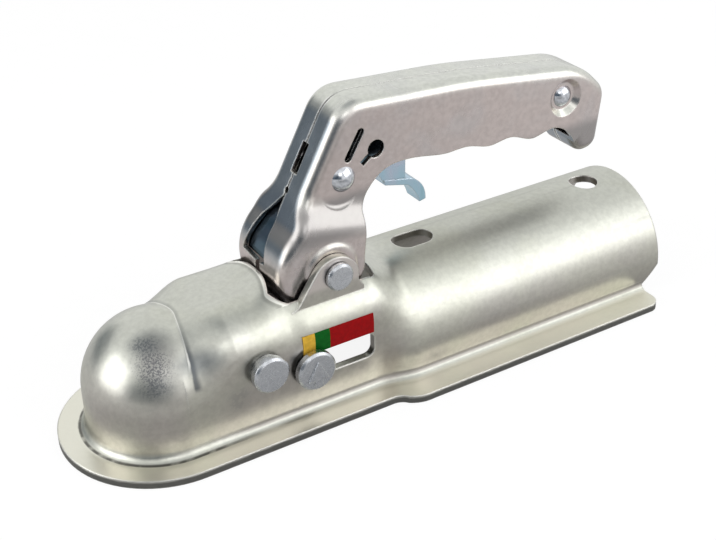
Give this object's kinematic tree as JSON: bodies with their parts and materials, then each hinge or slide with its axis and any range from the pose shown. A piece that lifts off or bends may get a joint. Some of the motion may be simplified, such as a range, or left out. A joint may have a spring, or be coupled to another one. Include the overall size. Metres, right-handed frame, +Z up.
{
  "type": "trailer coupling head",
  "caption": "Pressed steel trailer coupling head with ball socket, half-round drawbar seat, hinged hand lever, finger catch and wear indicator.",
  "frame": {"origin": "centre of the towing ball when the head is coupled", "axes": "+X runs back along the drawbar, +Z is up, and the side with the wear label faces -Y"},
  "size_m": [0.2755, 0.0938, 0.1227],
  "materials": {
    "zinc_body": "satin zinc plating",
    "zinc_lever": "smooth zinc plating",
    "plated_pins": "blue-white plating",
    "spring_wire": "drawn wire",
    "blue_catch": "blue plating",
    "dark_jaw": "greased casting",
    "label_foil": "printed foil"
  },
  "bodies": {
    "head_body": {"housing": "zinc_body", "front_pin": "plated_pins", "front_pin_washer_near": "plated_pins", "front_pin_washer_far": "plated_pins", "lever_pin": "plated_pins", "lever_pin_washer_near": "plated_pins", "lever_pin_washer_far": "plated_pins", "wear_label": "label_foil"},
    "lever": {"lever_half_near": "zinc_lever", "lever_half_far": "zinc_lever", "catch_rivet": "plated_pins", "grip_rivet": "plated_pins", "grip_spacer": "plated_pins", "lever_spring_near": "spring_wire", "lever_spring_far": "spring_wire", "catch_spring": "spring_wire"},
    "wear_slide": {"slide_block": "dark_jaw", "indicator_pin": "plated_pins", "indicator_washer_near": "plated_pins", "indicator_washer_far": "plated_pins"},
    "jaw": {"ball_jaw": "dark_jaw"},
    "catch": {"safety_catch": "blue_catch"}
  },
  "joints": [
    {"name": "lever_swing", "type": "hinge", "parent": "head_body", "child": "lever", "pos_m": [0.07, 0, 0.0355], "axis": [0, -1, 0], "range_deg": [0, 50], "stiffness_Nm_per_rad": 0.8, "springref_deg": -28.65},
    {"name": "wear_travel", "type": "slide", "parent": "head_body", "child": "wear_slide", "axis": [1, 0, 0], "range_m": [0, 0.0239]},
    {"name": "jaw_swing", "type": "hinge", "parent": "head_body", "child": "jaw", "pos_m": [0.033, 0, 0.0086], "axis": [0, -1, 0], "range_deg": [0, 22]},
    {"name": "catch_press", "type": "hinge", "parent": "lever", "child": "catch", "pos_m": [0.0803, 0, 0.0697], "axis": [0, -1, 0], "range_deg": [0, 10], "stiffness_Nm_per_rad": 0.2, "springref_deg": -28.65}
  ],
  "couplings": [
    {"joint": "wear_travel", "follows": "lever_swing", "m_per_rad": 0.02739},
    {"joint": "jaw_swing", "follows": "lever_swing", "ratio": 0.439}
  ]
}
